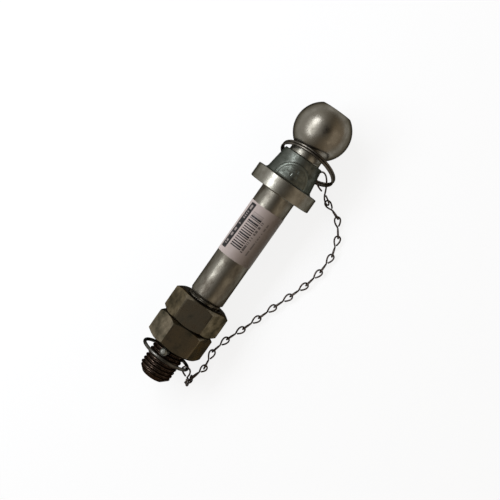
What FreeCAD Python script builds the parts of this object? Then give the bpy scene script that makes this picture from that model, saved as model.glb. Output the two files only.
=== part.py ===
"""Drop-in tow ball pin with two lock nuts, a linch pin and the chain that keeps it, lying on a table.

Millimetres, +Z up. The origin is the centre of the flange's seat, on the pin's axis. The pin is first
made along X, ball towards +X, and then sloped as it lies: the flange's rim and a corner of the lower
nut touch the table.
"""
import FreeCAD, Part
import math
import os
from FreeCAD import Vector, Placement, Rotation

# Ball and neck
ball_d = 50.0
ball_flat_above_centre = 20.8
neck_d = 29.5
neck_len = 6.8

# Cone and flange
cone_top_d = 36.5
cone_base_d = 43.5
cone_h = 23.5
cone_foot_round = 3.0
cone_lip_round = 0.8
flange_d = 58.0
flange_t = 13.0
flange_edge = 0.8

# Arch-shaped pad forged on the cone
pad_half_w = 14.5
pad_leg = 2.5
pad_h = 0.5
pad_rim_w = 2.2
pad_rim_h = 1.0
pad_turn = 3.0

# Shank and threaded end
shank_d = 32.0
shank_len = 107.0
shank_foot_round = 1.5
thread_d = 30.0
thread_len = 85.0
thread_chamfer = 5.0
thread_runout = 2.0

# Hexagon nuts
nut_af = 46.0
nut_h = 24.0
nut_face_d = 44.0
nut_chamfer_slope = 30.0
nut_clear = 0.05
nut_from_shank = 5.0
nut_face_gap = 0.1
nut_turns = (0.0, 8.0)

# Linch pin, through the threaded end below the nuts
linch_d = 7.0
linch_clear = 0.3
linch_below_nut = 0.4
linch_tip_reach = 23.0
linch_lean = 9.0
linch_head_gap = 1.0
linch_head_half_w = 4.4
linch_boss_r = 2.7
linch_tip_round = 2.45

# Linch ring, hinged in the pin's head
linch_ring_d = 47.0
linch_ring_wire = 3.0
linch_ring_side_gap = 0.2
linch_ring_bore_clear = 0.1
linch_ring_above_boss = 2.8
linch_stub_gap = 1.0
linch_ring_segments = 40

# Split ring round the neck
neck_ring_slack = 11.05
neck_ring_wire = 2.2
neck_ring_turn_gap = 0.1
neck_ring_segments = 60
neck_ring_lean = 21.6
neck_ring_yaw = 4.0
neck_ring_back = 1.9
neck_ring_aside = -5.3
neck_ring_clear = 0.15
neck_ring_end_turn = 235.0
neck_ring_cross_turn = 18.0
neck_ring_short_turn = 25.2

# Jack chain
chain_wire = 1.5
chain_pitch = 17.0
chain_link_len = 19.2
chain_loop_half_w = 2.6
chain_loop_peak = 0.77
chain_wide_half_w = 3.8
chain_wide_gap = 0.8
chain_hook_half_w = 5.4
chain_hook_slack = 12.0
chain_hook_far_len = 3.2
chain_hook_turn = -35.0
chain_hook_roll = 3.5
chain_first_roll = -8.0
chain_stop_turn = 88.0
chain_end_rolls = (-3.0, -9.0, -24.5, -16.0)
chain_free_end = 55.0
chain_loop_steps = 9
chain_walk_steps = 1500
chain_bulge_range = (0.3, 2.5)
chain_bulge_halvings = 30

# The chain's way on the table: share of the reach between its ends, and mm out from the straight line
chain_way = (
    (0.151, 38.0), (0.221, 43.0), (0.323, 43.5), (0.411, 40.5),
    (0.493, 35.2), (0.575, 29.6), (0.735, 19.4), (0.896, 10.3),
)

# The first joints on the table, seen from the neck ring; the last ones, seen from the linch ring
chain_first_on_table = ((-10.3, -12.3), (-16.3, -27.9))
chain_last_on_table = (4.6, -13.4)
chain_rising = ((-8.2, -9.3, -22.6), (-10.2, -7.7, -5.8))

# Sides of the drawn wires
wire_sides = 6
ring_sides = 8

# Paper label round the shank
label_from_seat = 16.0
label_len = 51.0
label_t = 0.15
label_gap = 0.1
label_from_turn = -86.0
label_to_turn = 100.0

X, Y, Z = Vector(1, 0, 0), Vector(0, 1, 0), Vector(0, 0, 1)

ball_r = ball_d / 2
flange_r = flange_d / 2
thread_r = thread_d / 2
cone_top_x = flange_t + cone_h
ball_x = cone_top_x + neck_len + math.sqrt(ball_r ** 2 - (neck_d / 2) ** 2)
thread_start_x = -shank_len
end_x = -shank_len - thread_len
upper_nut_x = thread_start_x - nut_from_shank - nut_h
lower_nut_x = upper_nut_x - nut_face_gap - nut_h
linch_x = lower_nut_x - linch_below_nut - linch_d / 2
linch_ring_x = linch_x - linch_d / 2 - linch_ring_side_gap - linch_ring_wire / 2
nut_corner_r = nut_af / 2 / math.cos(math.radians(30))

# The split ring lies on the table with the flange and still hangs over the neck
neck_ring_d = (flange_d + neck_d) / 2 + neck_ring_slack


def table_slope():
    """Angle of the axis when the flange's rim and the lower nut's lowest corner lie on the table."""
    lowest = nut_corner_r * math.cos(math.radians(30 - nut_turns[1]))
    chamfer = (nut_corner_r - nut_face_d / 2) * math.tan(math.radians(nut_chamfer_slope))
    run = -(lower_nut_x + chamfer) + flange_edge
    return math.atan2(flange_r - lowest, run)


slope = table_slope()
laid = Placement(Vector(), Rotation(Y, -math.degrees(slope)))
leaned = Placement(Vector(), Rotation(X, -linch_lean))
table_z = -flange_r * math.cos(slope) + flange_edge * math.sin(slope)


def rounded_outline(corners):
    """A closed wire through (x, r, round) corners in the XZ plane, each corner rounded by its own radius."""
    edges = []
    ends = []
    count = len(corners)
    for i, (x, r, rounding) in enumerate(corners):
        here = Vector(x, 0, r)
        if not rounding:
            ends.append((here, here))
            continue
        before = Vector(corners[i - 1][0], 0, corners[i - 1][1]) - here
        after = Vector(corners[(i + 1) % count][0], 0, corners[(i + 1) % count][1]) - here
        half = before.getAngle(after) / 2
        before.normalize()
        after.normalize()
        back = rounding / math.tan(half)
        middle = (before + after).normalize() * (rounding / math.sin(half) - rounding)
        start, stop = here + before * back, here + after * back
        edges.append(Part.Arc(start, here + middle, stop).toShape())
        ends.append((start, stop))
    for i in range(count):
        start, stop = ends[i][1], ends[(i + 1) % count][0]
        if start.distanceToPoint(stop) > 1e-6:
            edges.append(Part.makeLine(start, stop))
    return Part.Wire(Part.__sortEdges__(edges))


def turned(corners):
    """A solid turned round the X axis from an outline."""
    return Part.Face(rounded_outline(corners)).revolve(Vector(), X, 360)


def cone_radius(x, proud=0.0):
    """Radius of the cone's straight flank at x, raised by proud."""
    share = (x - flange_t) / cone_h
    return (cone_base_d + (cone_top_d - cone_base_d) * share) / 2 + proud


def arch_prism(inset):
    """A prism over the cone's upper side with the outline of an arch, its legs at the flange."""
    half = pad_half_w - inset
    spring_x = flange_t + pad_leg
    legs = [Vector(spring_x, half, 0), Vector(0, half, 0), Vector(0, -half, 0), Vector(spring_x, -half, 0)]
    edges = [Part.makeLine(a, b) for a, b in zip(legs, legs[1:])]
    edges.append(Part.Arc(legs[3], Vector(spring_x + half, 0, 0), legs[0]).toShape())
    prism = Part.Face(Part.Wire(Part.__sortEdges__(edges))).extrude(Z * flange_r)
    return prism


def raised_cone(proud):
    """The cone's flank raised by proud, from inside the flange to the cone's top."""
    inner_x = flange_t / 2
    return turned([
        (inner_x, 0, 0), (inner_x, cone_radius(inner_x, proud), 0),
        (cone_top_x, cone_radius(cone_top_x, proud), 0), (cone_top_x, 0, 0),
    ])


def make_ball():
    ball = Part.makeSphere(ball_r, Vector(ball_x, 0, 0), X, -90, 90, 360)
    flat_x = ball_x + ball_flat_above_centre
    keep = Part.makeCylinder(ball_r * 2, flat_x - cone_top_x, Vector(cone_top_x, 0, 0), X)
    return ball.common(keep)


def make_ball_pin():
    """The forging: thread end, shank, flange, cone with its pad, neck and ball, with the cross-hole."""
    shank_r, neck_r = shank_d / 2, neck_d / 2
    body = turned([
        (end_x, 0, 0), (end_x, thread_r - thread_chamfer, 0), (end_x + thread_chamfer, thread_r, 0),
        (thread_start_x - thread_runout, thread_r, 0), (thread_start_x, shank_r, 0),
        (0, shank_r, shank_foot_round), (0, flange_r, flange_edge),
        (flange_t, flange_r, flange_edge), (flange_t, cone_base_d / 2, cone_foot_round),
        (cone_top_x, cone_top_d / 2, cone_lip_round), (cone_top_x, neck_r, 0),
        (ball_x, neck_r, 0), (ball_x, 0, 0),
    ])
    body = body.fuse(make_ball())
    pad = arch_prism(0).common(raised_cone(pad_h))
    rim = arch_prism(0).cut(arch_prism(pad_rim_w)).common(raised_cone(pad_rim_h))
    arch = pad.fuse(rim)
    arch.rotate(Vector(), X, pad_turn)
    body = body.fuse(arch)
    hole_r = linch_d / 2 + linch_clear
    hole = Part.makeCylinder(hole_r, thread_d * 2, Vector(linch_x, 0, -thread_d), Z)
    hole.Placement = leaned
    return body.cut(hole).removeSplitter()


def make_nut(x, turn):
    """A hexagon nut with its low end at x and a flat upwards, turned round the axis by turn degrees."""
    angles = [math.radians(30 + 60 * k + turn) for k in range(7)]
    corners = [Vector(x, -nut_corner_r * math.sin(a), nut_corner_r * math.cos(a)) for a in angles]
    nut = Part.Face(Part.makePolygon(corners)).extrude(X * nut_h)
    face_r = nut_face_d / 2
    beyond = nut_corner_r + 1
    fall = (beyond - face_r) * math.tan(math.radians(nut_chamfer_slope))
    nut = nut.common(turned([
        (x, 0, 0), (x, face_r, 0), (x + fall, beyond, 0),
        (x + nut_h - fall, beyond, 0), (x + nut_h, face_r, 0), (x + nut_h, 0, 0),
    ]))
    return nut.cut(Part.makeCylinder(thread_r + nut_clear, nut_h, Vector(x, 0, 0), X))


def linch_hinge():
    """Centre of the ring's hinge in the head, before the pin leans."""
    return Vector(linch_ring_x, 0, -thread_r - linch_head_gap - linch_ring_above_boss - linch_ring_wire / 2)


def make_linch_pin():
    """The pin with its rounded tip, and the flattened head that carries the ring."""
    hinge = linch_hinge()
    pin_r = linch_d / 2
    head_top = -thread_r - linch_head_gap
    low_z = hinge.z - linch_boss_r
    pin = Part.makeCylinder(pin_r, linch_tip_reach - low_z, Vector(linch_x, 0, low_z), Z)
    pin = pin.makeFillet(linch_tip_round, [e for e in pin.Edges if e.Closed and e.CenterOfMass.z > 0])
    outline = [
        Vector(linch_x + pin_r, 0, head_top), Vector(linch_x + pin_r, 0, low_z),
        Vector(hinge.x, 0, low_z), Vector(hinge.x - linch_boss_r, 0, hinge.z),
        Vector(linch_x - pin_r, 0, head_top),
    ]
    nose = hinge + Vector(-1, 0, -1).normalize() * linch_boss_r
    edges = [
        Part.makeLine(outline[0], outline[1]), Part.makeLine(outline[1], outline[2]),
        Part.Arc(outline[2], nose, outline[3]).toShape(),
        Part.makeLine(outline[3], outline[4]), Part.makeLine(outline[4], outline[0]),
    ]
    head = Part.Face(Part.Wire(edges)).extrude(Y * (2 * linch_head_half_w))
    head.translate(Y * -linch_head_half_w)
    bore_r = linch_ring_wire / 2 + linch_ring_bore_clear
    bore = Part.makeCylinder(bore_r, 2 * flange_r, hinge - Y * flange_r, Y)
    return pin.fuse(head).cut(bore).removeSplitter()


def wire_solid(points, diameter, sides):
    """A round wire through the points, drawn with flat sides and mitred at every bend."""
    ahead = [(b - a).normalize() for a, b in zip(points, points[1:])]
    across = ahead[0].cross(Z if abs(ahead[0].z) < 0.9 else X).normalize()
    other = ahead[0].cross(across)
    turns = [2 * math.pi * (k + 0.5) / sides for k in range(sides)]
    ring = [points[0] + across * (math.cos(a) * diameter / 2) + other * (math.sin(a) * diameter / 2)
            for a in turns]
    sections = [ring]
    for i in range(1, len(points)):
        along = ahead[i - 1]
        facing = along if i == len(points) - 1 else along + ahead[i]
        ring = [p + along * ((points[i] - p).dot(facing) / along.dot(facing)) for p in ring]
        sections.append(ring)
    wires = [Part.makePolygon(section + section[:1]) for section in sections]
    return Part.makeLoft(wires, True, True)


def make_linch_ring():
    """The wire ring: two straight ends in the head's bore, and the round between them."""
    hinge = linch_hinge()
    centre_r = (linch_ring_d - linch_ring_wire) / 2
    centre = hinge + Z * centre_r
    side = linch_head_half_w + linch_ring_wire
    opening = math.asin(side / centre_r)
    step = (2 * math.pi - 2 * opening) / linch_ring_segments
    turns = [opening + step * k for k in range(linch_ring_segments + 1)]
    arc = [centre + Y * (centre_r * math.sin(a)) - Z * (centre_r * math.cos(a)) for a in turns]
    bend = linch_head_half_w + linch_ring_wire / 3
    stub = [hinge + Y * linch_stub_gap, hinge + Y * bend]
    stub_back = [hinge - Y * bend, hinge - Y * linch_stub_gap]
    return wire_solid(stub + arc + stub_back, linch_ring_wire, ring_sides)


def neck_ring_frame():
    """Centre and the two directions of the split ring's plane: sideways, and up along its lean."""
    yaw, lean = math.radians(neck_ring_yaw), math.radians(neck_ring_lean)
    aside = Vector(-math.sin(yaw), -math.cos(yaw), 0)
    level = Vector(math.cos(yaw), -math.sin(yaw), 0)
    up = level * math.sin(lean) + Z * math.cos(lean)
    centre_r = (neck_ring_d - neck_ring_wire) / 2
    reach = centre_r * math.hypot(laid.multVec(aside).z, laid.multVec(up).z)
    thick = neck_ring_wire / 2 + (neck_ring_wire + neck_ring_turn_gap) / 2 * math.sin(lean)
    x = cone_top_x - neck_ring_back
    low = table_z + neck_ring_clear + thick + reach - x * math.sin(slope)
    return Vector(x, neck_ring_aside, low / math.cos(slope)), aside, up


def neck_ring_point(turn, along=0.0):
    """A point of the split ring's wire, turn degrees round from its right side."""
    centre, aside, up = neck_ring_frame()
    centre_r = (neck_ring_d - neck_ring_wire) / 2
    a = math.radians(turn)
    return centre + aside * (centre_r * math.cos(a)) + up * (centre_r * math.sin(a)) + aside.cross(up) * along


def make_neck_ring():
    """A split ring: nearly two turns of wire side by side, crossing over between their two ends."""
    offset = (neck_ring_wire + neck_ring_turn_gap) / 2
    half = 360 - neck_ring_short_turn
    points = []
    for k in range(neck_ring_segments + 1):
        turn = half * (2 * k / neck_ring_segments - 1)
        side = max(-1.0, min(1.0, turn / neck_ring_cross_turn))
        points.append(neck_ring_point(neck_ring_end_turn + turn, side * offset))
    return wire_solid(points, neck_ring_wire, ring_sides)


def loop_path(length, half_w, start, stop):
    """Points of a drop-shaped loop from its neck at the origin: (along, across) at turns from start to stop."""
    peak = half_w / chain_loop_peak
    points = []
    for k in range(chain_loop_steps + 1):
        t = math.radians(start + (stop - start) * k / chain_loop_steps)
        points.append((length * (1 - math.cos(t)) / 2, peak * math.sin(t) * math.sin(t / 2)))
    return points


def link_path(near, far, normal, near_reach, far_reach, near_half_w, far_half_w):
    """Points of a jack chain link's wire: a loop at each end, the second loop across the first."""
    along = (far - near).normalize()
    up = (normal - along * normal.dot(along)).normalize()
    side = up.cross(along)
    far_len = chain_pitch / 2 + far_reach
    near_len = near.distanceToPoint(far) - chain_pitch / 2 + near_reach
    middle = far - along * (chain_pitch / 2)
    first = loop_path(near_len, near_half_w, chain_free_end, 360)
    second = loop_path(far_len, far_half_w, 0, 360 - chain_free_end)[1:]
    path = [middle - along * x + side * y for x, y in first]
    path += [middle + along * x + up * y for x, y in second]
    return path


def linch_ring_point(turn):
    """A point of the linch ring's wire as it lies, turn degrees round from its top towards -Y."""
    centre_r = (linch_ring_d - linch_ring_wire) / 2
    a = math.radians(turn)
    point = linch_hinge() + Z * centre_r + Z * (centre_r * math.cos(a)) - Y * (centre_r * math.sin(a))
    return laid.multVec(leaned.multVec(point))


def chain_low():
    """Height of the chain's middle line where its upright loops stand on the table."""
    return table_z + chain_loop_half_w + chain_wire / 2


def chain_route(bulge):
    """The chain's line over the table, from its second joint there to where it leaves it again."""
    start = laid.multVec(neck_ring_point(chain_hook_turn))
    stop = linch_ring_point(chain_stop_turn)
    low = chain_low()
    reach = start.x - stop.x
    second = chain_first_on_table[1]
    points = [Vector(start.x + second[0], start.y + second[1], low)]
    for share, out in chain_way:
        side_y = start.y + (stop.y - start.y) * share
        points.append(Vector(start.x - reach * share, side_y - out * bulge, low))
    points.append(Vector(stop.x + chain_last_on_table[0], stop.y + chain_last_on_table[1], low))
    curve = Part.BSplineCurve()
    curve.interpolate(points)
    return curve


def walk(curve):
    """Joints one pitch apart along the curve, and how far the last one stays from the curve's end."""
    first, last = curve.FirstParameter, curve.LastParameter
    share = (last - first) / chain_walk_steps
    fine = [curve.value(first + share * k) for k in range(chain_walk_steps + 1)]
    joints = [fine[0]]
    for a, b in zip(fine, fine[1:]):
        here = joints[-1]
        if here.distanceToPoint(b) < chain_pitch:
            continue
        inside, outside = here.distanceToPoint(a), here.distanceToPoint(b)
        joints.append(a + (b - a) * ((chain_pitch - inside) / (outside - inside)))
    left = joints[-1].distanceToPoint(fine[-1])
    return joints, left


def chain_joints():
    """Joints of the whole chain, with the arc's bulge set so that a whole number of links just reaches."""
    joints, left = walk(chain_route(1.0))
    count = len(joints) - 1 + round(left / chain_pitch)
    low, high = chain_bulge_range
    for _ in range(chain_bulge_halvings):
        bulge = (low + high) / 2
        joints, left = walk(chain_route(bulge))
        if len(joints) - 1 >= count:
            high = bulge
        else:
            low = bulge
    route = chain_route(high)
    start = laid.multVec(neck_ring_point(chain_hook_turn))
    stop = linch_ring_point(chain_stop_turn)
    first = chain_first_on_table[0]
    joints = [start, Vector(start.x + first[0], start.y + first[1], chain_low())]
    joints += walk(route)[0][:count]
    joints.append(route.value(route.LastParameter))
    joints += [stop + Vector(*offset) for offset in chain_rising] + [stop]
    print("chain of %d links, bulge %.3f" % (len(joints) - 1, high))
    return joints


def chain_paths(joints, end_rolls):
    """Wire paths by name: the opened link on the neck ring, the run, and the wide loop on the linch ring."""
    count = len(joints) - 1
    paths = {}
    before = (joints[1] - joints[0]).normalize()
    strand = laid.multVec(neck_ring_point(chain_hook_turn - 1)) - joints[0]
    normal = strand - before * strand.dot(before)
    roll = {0: chain_hook_roll, 1: chain_first_roll}
    roll.update({count - len(end_rolls) + k: turn for k, turn in enumerate(end_rolls)})
    for i, (near, far) in enumerate(zip(joints, joints[1:])):
        along = (far - near).normalize()
        if 0 < i < count - len(end_rolls):
            normal = Z - along * along.z
        else:
            normal = Rotation(before, along).multVec(normal)
        normal = Rotation(along, roll.get(i, 0)).multVec(normal)
        before = along
        first, last = i == 0, i == count - 1
        spare = (chain_link_len - near.distanceToPoint(far)) / 2
        near_reach = chain_hook_slack if first else spare
        far_reach = chain_hook_far_len if first else spare
        if last:
            far_reach = (linch_ring_wire + chain_wire) / 2 + chain_wide_gap
        near_half_w = chain_hook_half_w if first else chain_loop_half_w
        far_half_w = chain_wide_half_w if last else chain_loop_half_w
        name = "chain_hook" if first else "chain_link_%02d" % i
        paths[name] = link_path(near, far, normal, near_reach, far_reach, near_half_w, far_half_w)
    return paths


def make_chain():
    paths = chain_paths(chain_joints(), chain_end_rolls)
    return {name: wire_solid(path, chain_wire, wire_sides) for name, path in paths.items()}


def make_label():
    """The paper label: a thin sleeve over part of the shank's round."""
    inner_r = shank_d / 2 + label_gap
    start_x, stop_x = -label_from_seat, -label_from_seat - label_len
    section = Part.Face(Part.makePolygon([
        Vector(start_x, 0, inner_r), Vector(start_x, 0, inner_r + label_t),
        Vector(stop_x, 0, inner_r + label_t), Vector(stop_x, 0, inner_r), Vector(start_x, 0, inner_r),
    ]))
    section.rotate(Vector(), X, -label_to_turn)
    return section.revolve(Vector(), X, label_to_turn - label_from_turn)


def placed(shape, placement):
    """The shape moved as a rigid body."""
    shape.Placement = placement.multiply(shape.Placement)
    return shape


def main():
    os.makedirs("parts", exist_ok=True)
    along_axis = {
        "ball_pin": make_ball_pin(),
        "upper_nut": make_nut(upper_nut_x, nut_turns[0]),
        "lower_nut": make_nut(lower_nut_x, nut_turns[1]),
        "label": make_label(),
        "neck_ring": make_neck_ring(),
    }
    leaning = {"linch_pin": make_linch_pin(), "linch_ring": make_linch_ring()}
    pieces = {}
    for name, shape in along_axis.items():
        pieces[name] = placed(shape, laid)
    for name, shape in leaning.items():
        pieces[name] = placed(shape, laid.multiply(leaned))
    pieces.update(make_chain())
    for name, shape in pieces.items():
        shape.exportStep("parts/%s.step" % name)
        box = shape.BoundBox
        print("%-14s valid %s solids %d volume %9.1f  z %.2f" % (
            name, shape.isValid(), len(shape.Solids), shape.Volume, box.ZMin))
    print("slope %.3f degrees, table at z %.3f" % (math.degrees(slope), table_z))


main()
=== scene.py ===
"""Dresses the threaded tow ball for the camera: forged pin, nuts, rings, chain, label and stage.

Sizes are in metres in the part's own frame, +Z up, with the origin at the middle of the flange's seat.
The pin is worked out along X, ball towards +X, and is then sloped as it lies on the table.
"""
import math

import bpy
import numpy as np
from bpy.props import FloatProperty, FloatVectorProperty, PointerProperty, StringProperty
from mathutils import Matrix


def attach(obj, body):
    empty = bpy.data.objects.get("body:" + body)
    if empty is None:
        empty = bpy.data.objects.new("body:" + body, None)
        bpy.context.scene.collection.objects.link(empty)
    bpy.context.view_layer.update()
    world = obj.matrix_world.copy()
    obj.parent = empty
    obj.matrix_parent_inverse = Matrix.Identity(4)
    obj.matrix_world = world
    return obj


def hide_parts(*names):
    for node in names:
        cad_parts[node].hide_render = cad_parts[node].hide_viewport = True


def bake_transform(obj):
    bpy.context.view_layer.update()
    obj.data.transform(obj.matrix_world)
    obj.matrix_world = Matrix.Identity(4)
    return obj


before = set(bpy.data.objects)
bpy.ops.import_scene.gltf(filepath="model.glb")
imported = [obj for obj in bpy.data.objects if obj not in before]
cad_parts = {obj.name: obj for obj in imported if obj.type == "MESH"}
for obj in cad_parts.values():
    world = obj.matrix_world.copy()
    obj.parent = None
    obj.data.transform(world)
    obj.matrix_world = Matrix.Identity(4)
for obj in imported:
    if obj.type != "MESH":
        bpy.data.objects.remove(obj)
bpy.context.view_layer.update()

bl_info = {
    "name": "Threaded tow ball",
    "version": (1, 0, 0),
    "blender": (4, 5, 0),
    "location": "View3D > Sidebar > Tow Ball",
    "description": "Builds the visible surfaces and finishes of a threaded tow ball and its stage",
    "category": "Object",
}

MM = 0.001


# Sizes and colours that a user would change

def length(name, description, millimetres):
    """A length property whose default is given in millimetres."""
    return FloatProperty(name=name, description=description, default=millimetres * MM,
                         unit="LENGTH", precision=5)


def colour(name, description, code):
    """A colour property whose default is an sRGB hex value."""
    return StringProperty(name=name, description=description, default=code)


class ForgedPinSizes(bpy.types.PropertyGroup):
    ball_d: length("Ball", "Diameter of the ball", 50.0)
    ball_flat: length("Ball flat", "Height of the flat above the ball's centre", 20.8)
    neck_d: length("Neck", "Diameter of the neck", 29.5)
    neck_len: length("Neck length", "Length of the neck between cone and ball", 6.8)
    cone_top_d: length("Cone top", "Diameter of the cone under the neck", 36.5)
    cone_base_d: length("Cone base", "Diameter of the cone on the flange", 43.5)
    cone_h: length("Cone height", "Height of the cone", 23.5)
    flange_d: length("Flange", "Diameter of the flange", 58.0)
    flange_t: length("Flange thickness", "Thickness of the flange", 13.0)
    shank_d: length("Shank", "Diameter of the plain shank", 32.0)
    shank_len: length("Shank length", "Length of the plain shank", 107.0)
    thread_d: length("Thread", "Outer diameter of the thread", 30.0)
    thread_len: length("Thread length", "Length of the threaded end", 85.0)
    thread_pitch: length("Thread pitch", "Distance between turns of the thread", 3.5)
    thread_root: length("Thread root", "Radius at the bottom of the thread", 12.9)
    thread_chamfer: length("Thread chamfer", "Chamfer on the free end", 5.0)
    pad_half_w: length("Pad half width", "Half width of the arch-shaped pad on the cone", 14.5)
    pad_leg: length("Pad legs", "Straight part of the arch above the flange", 2.5)
    pad_rise: length("Pad height", "How far the pad stands out of the cone", 0.5)
    pad_rim: length("Pad rim", "Width of the pad's raised rim", 2.2)


class NutSizes(bpy.types.PropertyGroup):
    across_flats: length("Across flats", "Width of the hexagon across its flats", 46.0)
    height: length("Height", "Height of one nut", 24.0)
    face_d: length("Face", "Diameter where the chamfer meets the face", 44.0)
    bore_d: length("Bore", "Diameter of the bore", 30.1)
    upper_low_end: length("Upper nut", "Where the upper nut's low end is", -136.0)
    lower_low_end: length("Lower nut", "Where the lower nut's low end is", -160.1)
    lower_turn: FloatProperty(name="Lower turn", description="How far the lower nut is turned",
                              default=math.radians(8), subtype="ANGLE")


class RingSizes(bpy.types.PropertyGroup):
    linch_d: length("Linch ring", "Outer diameter of the linch ring", 47.0)
    linch_wire: length("Linch ring wire", "Wire of the linch ring", 3.0)
    linch_head_half_w: length("Head half width", "Half width of the linch pin's head", 4.4)
    neck_d: length("Neck ring", "Outer diameter of the split ring", 54.8)
    neck_wire: length("Neck ring wire", "Wire of the split ring", 2.2)
    neck_lean: FloatProperty(name="Neck ring lean", description="How far the split ring leans to the ball",
                             default=math.radians(21.6), subtype="ANGLE")
    neck_yaw: FloatProperty(name="Neck ring yaw", description="How far the split ring is turned sideways",
                            default=math.radians(4.0), subtype="ANGLE")
    linch_lean: FloatProperty(name="Linch pin lean", description="How far the linch pin leans sideways",
                              default=math.radians(-9.0), subtype="ANGLE")


class ChainSizes(bpy.types.PropertyGroup):
    wire: length("Wire", "Wire of the chain", 1.5)
    link_len: length("Link length", "Length of one link between its loops' crowns", 19.2)
    pitch: length("Pitch", "Distance between joints of the taut chain", 17.0)
    loop_half_w: length("Loop half width", "Half width of a link's loop", 2.6)
    wide_half_w: length("Wide loop", "Half width of the loop on the linch ring", 3.8)
    hook_half_w: length("Hook loop", "Half width of the opened loop on the split ring", 5.4)
    hook_slack: length("Hook slack", "How far the opened loop reaches past the split ring", 12.0)
    hook_far: length("Hook's far loop", "How far the hook's second loop reaches past its joint", 3.2)


class LabelSizes(bpy.types.PropertyGroup):
    from_seat: length("From seat", "Distance of the label from the flange's seat", 16.0)
    long: length("Length", "Length of the label along the shank", 51.0)
    thickness: length("Thickness", "Thickness of the paper", 0.15)
    left: FloatProperty(name="Left edge", description="Turn of the label's left edge from the top",
                        default=math.radians(100), subtype="ANGLE")
    right: FloatProperty(name="Right edge", description="Turn of the label's right edge from the top",
                         default=math.radians(86), subtype="ANGLE")


class StageSettings(bpy.types.PropertyGroup):
    table_z: length("Table", "Height of the table top", -28.967)
    slope: FloatProperty(name="Slope", description="Slope of the pin as it lies",
                         default=math.radians(1.584), subtype="ANGLE")
    camera_at: FloatVectorProperty(name="Camera", description="Place of the camera", subtype="TRANSLATION",
                                   default=(0.00634, 0.00810, 0.77258))
    camera_right: FloatVectorProperty(name="Camera right", description="Direction to the picture's right",
                                      subtype="DIRECTION", default=(0.57261, -0.81935, -0.02793))
    camera_back: FloatVectorProperty(name="Camera back", subtype="DIRECTION",
                                     description="Direction from the part to the camera",
                                     default=(0.07687, 0.01975, 0.99685))
    lens: FloatProperty(name="Lens", description="Focal length on a 36 mm sensor", default=65.54,
                        unit="CAMERA")
    floor_colour: colour("Floor", "Colour of the floor", "#F4F6F8")
    white_share: FloatProperty(name="White share", default=0.85, min=0.0, max=1.0,
                               description="How much of the table is seen as plain white")
    strip_power: FloatProperty(name="Strip lamp", description="Power of the strip lamp on the left",
                               default=9.5, unit="POWER")
    fill_power: FloatProperty(name="Fill lamp", description="Power of the wide warm lamp on the right",
                              default=1.5, unit="POWER")


class FinishColours(bpy.types.PropertyGroup):
    ball: colour("Ball", "Turned and polished steel", "#7F7B72")
    forged: colour("Forging skin", "As-forged steel of cone and pad", "#5E615B")
    turned: colour("Turned flange", "Turned steel of the flange", "#85837A")
    shank: colour("Shank", "Drawn steel of the shank", "#7A776D")
    thread: colour("Thread", "Rolled thread with oil and dirt in it", "#4E4239")
    nut: colour("Nuts", "Dull plated steel of the nuts", "#776E5E")
    plated: colour("Plated pin", "Plated steel of the linch pin", "#77776F")
    ring: colour("Split ring", "Plated spring wire of the split ring", "#67625A")
    linch: colour("Linch ring", "Plated spring wire of the linch ring", "#5C5A55")
    chain: colour("Chain wire", "Dull wire of the chain", "#5C544E")
    paper: colour("Paper", "Paper of the label", "#9E938E")
    ink: colour("Ink", "Print on the label", "#121010")


GROUPS = {
    "tow_pin": ForgedPinSizes, "tow_nut": NutSizes, "tow_ring": RingSizes, "tow_chain": ChainSizes,
    "tow_label": LabelSizes, "tow_stage": StageSettings, "tow_finish": FinishColours,
}

# Joints of the chain as it lies, in millimetres, from the split ring to the linch ring
CHAIN_JOINTS = np.array([
    (28.0, -26.4, -16.8), (17.7, -38.7, -25.6), (11.7, -54.3, -25.6), (-1.8, -64.6, -25.6),
    (-18.0, -69.7, -25.6), (-35.0, -69.5, -25.6), (-51.7, -66.2, -25.6), (-67.7, -60.6, -25.6),
    (-83.6, -54.5, -25.6), (-99.6, -48.9, -25.6), (-115.6, -43.1, -25.6), (-131.4, -36.7, -25.6),
    (-147.8, -32.5, -25.6), (-164.7, -34.7, -25.6), (-177.5, -30.6, -21.4), (-179.5, -29.0, -4.6),
    (-169.3, -21.3, 1.2),
])

# Details that go with the sizes above, in metres where nothing else is said

# Forged pin: rounded edges, ledges and run-out, and the distance of rows where they are close
EDGE_ROUND = 0.0008
CHAMFER_ROUND = 0.0006
SHANK_FOOT_ROUND = 0.0015
CONE_FOOT_ROUND = 0.003
CONE_LEDGE = 0.0035
RIM_BAND = 0.002
NECK_LEDGE = 0.001
THREAD_RUNOUT = 0.002
CLEAN_TURNS = 0.0062
POLE_R = 0.0005
FLAT_EDGE = 0.0004
END_STEP = 0.003
THREAD_STEP = 0.00035
RUNOUT_STEP = 0.0004
SHANK_STEP = 0.004
RIM_STEP = 0.002
CONE_STEP = 0.0003
NECK_STEP = 0.001
# How far the crest rises to the shank, and the middle and width of its slope and of the root's
CREST_RISE = 0.001
CREST_SLOPE = (0.001, 0.002)
ROOT_SLOPE = (0.0025, 0.003)
# Half of the root's flat and the flank, as shares of half the pitch
ROOT_SHARE = 0.16
FLANK_SHARE = 0.66
# Cross-hole: its distance from the seat, and radius, depth and soft edge of the gap round the linch pin
HOLE_FROM_SEAT = 0.1640
HOLE_R = 0.0040
HOLE_DEPTH = 0.0018
HOLE_SOFT = 0.0006
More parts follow.
